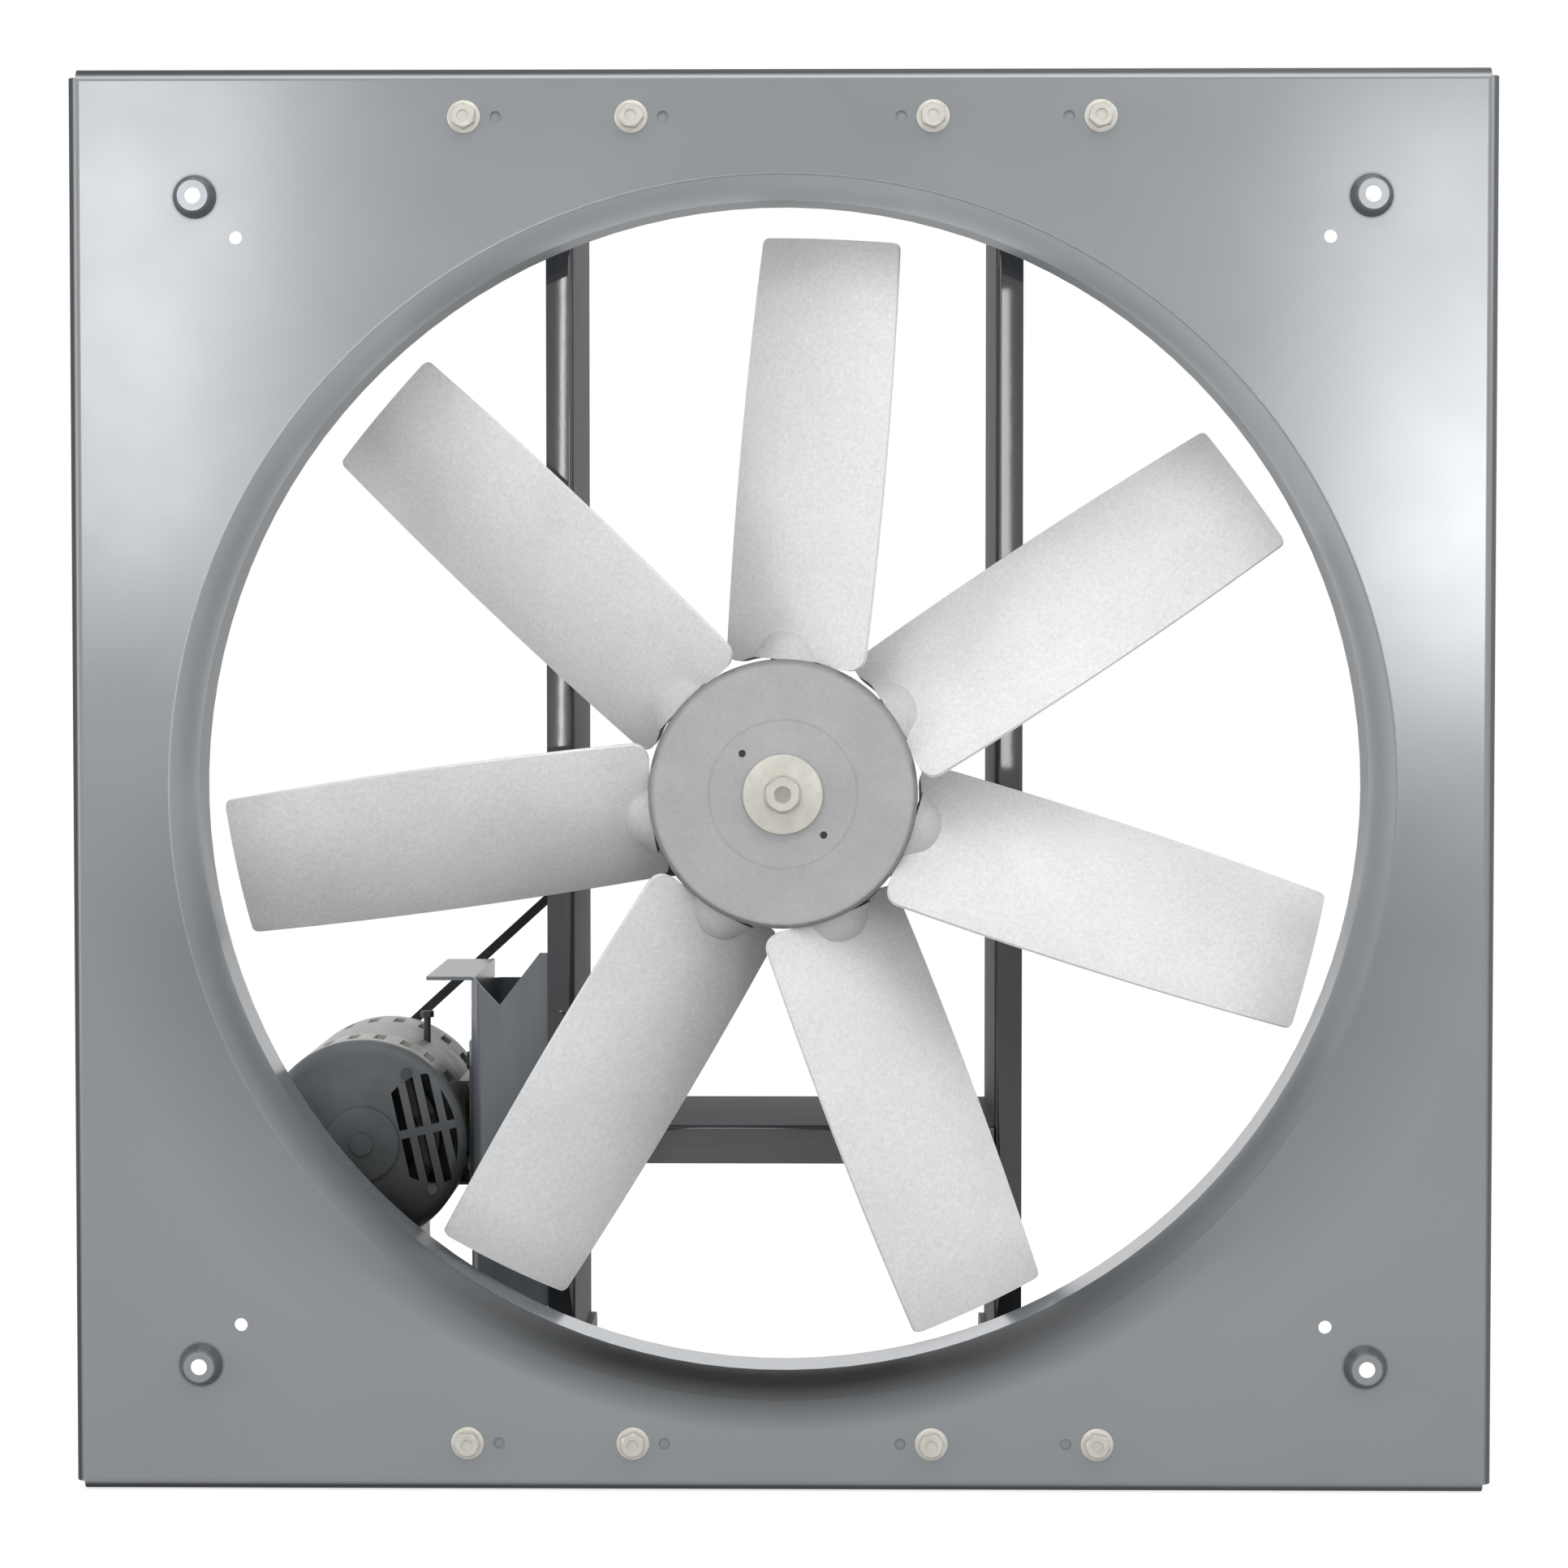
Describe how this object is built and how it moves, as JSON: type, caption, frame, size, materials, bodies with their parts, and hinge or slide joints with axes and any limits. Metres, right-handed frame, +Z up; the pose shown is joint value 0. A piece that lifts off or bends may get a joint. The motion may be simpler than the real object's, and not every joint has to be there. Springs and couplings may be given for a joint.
{
  "type": "belt-drive axial fan",
  "caption": "Square wall panel fan with a bell-mouth inlet, cast-blade propeller on a bearing-mounted shaft, and a side motor that drives it through a V-belt.",
  "frame": {"origin": "middle of the four wall holes, on the plane of the raised pads that bear on the wall", "axes": "+X to the right seen from the inlet, +Y with the air through the panel towards the drive, +Z up"},
  "size_m": [1.13, 0.432, 1.13],
  "materials": {
    "panel_paint": "satin grey finish on folded steel sheet",
    "frame_paint": "satin blue-grey finish on folded steel",
    "zinc": "yellowish zinc plating",
    "blade_casting": "matt sand-cast aluminium",
    "hub_casting": "turned cast aluminium",
    "bearing_casting": "painted cast iron",
    "sheave_iron": "painted cast iron",
    "ground_steel": "ground steel",
    "belt_rubber": "matt rubber and cloth",
    "motor_paint": "grey enamel",
    "bell_casting": "painted die casting",
    "core_steel": "laminated steel",
    "copper_winding": "varnished copper wire",
    "bronze": "sintered bronze"
  },
  "bodies": {
    "frame": {"fan_panel": "panel_paint", "panel_bolts": "zinc", "panel_nuts": "zinc", "upper_left_arm": "frame_paint", "upper_right_arm": "frame_paint", "lower_left_arm": "frame_paint", "lower_right_arm": "frame_paint", "left_rail": "frame_paint", "right_rail": "frame_paint", "rail_fasteners": "zinc", "bearing_base": "frame_paint", "lower_crossbar": "frame_paint", "crossbar_fasteners": "zinc", "front_bearing_housing": "bearing_casting", "rear_bearing_housing": "bearing_casting", "bearing_outer_races": "ground_steel", "bearing_balls": "ground_steel", "bearing_fasteners": "zinc", "slide_fasteners": "zinc", "v_belt": "belt_rubber"},
    "fan_rotor": {"fan_shaft": "ground_steel", "hub_front_half": "hub_casting", "hub_rear_half": "hub_casting", "hub_bushing": "sheave_iron", "hub_key": "ground_steel", "hub_clamp_bolts": "zinc", "shaft_end_washer": "zinc", "shaft_end_bolt": "zinc", "bearing_inner_races": "ground_steel", "driven_sheave": "sheave_iron", "sheave_key": "ground_steel", "blade_1": "blade_casting", "blade_2": "blade_casting", "blade_3": "blade_casting", "blade_4": "blade_casting", "blade_5": "blade_casting", "blade_6": "blade_casting", "blade_7": "blade_casting"},
    "motor_carriage": {"motor_bracket": "frame_paint", "motor_base": "motor_paint", "motor_base_fasteners": "zinc", "motor_shell": "motor_paint", "front_end_bell": "bell_casting", "rear_end_bell": "bell_casting", "stator_core": "core_steel", "stator_windings": "copper_winding", "motor_tie_bolts": "zinc", "motor_bearings": "bronze", "earth_stud": "bell_casting", "terminal_box": "motor_paint", "terminal_box_cover": "motor_paint", "terminal_box_screws": "zinc"},
    "motor_rotor": {"motor_shaft": "ground_steel", "rotor_core": "core_steel", "driver_sheave": "sheave_iron", "motor_key": "ground_steel"}
  },
  "joints": [
    {"name": "fan_spin", "type": "hinge", "parent": "frame", "child": "fan_rotor", "pos_m": [0, 0.108, -0.01], "axis": [0, 1, 0], "continuous": true},
    {"name": "motor_slide", "type": "slide", "parent": "frame", "child": "motor_carriage", "axis": [0, 0, 1], "range_m": [-0.02, 0.012], "deforming": ["v_belt"]},
    {"name": "motor_spin", "type": "hinge", "parent": "motor_carriage", "child": "motor_rotor", "pos_m": [-0.352, 0.261, -0.305], "axis": [0, 1, 0], "continuous": true}
  ],
  "couplings": [
    {"joint": "motor_spin", "follows": "fan_spin", "ratio": 1.4062}
  ]
}
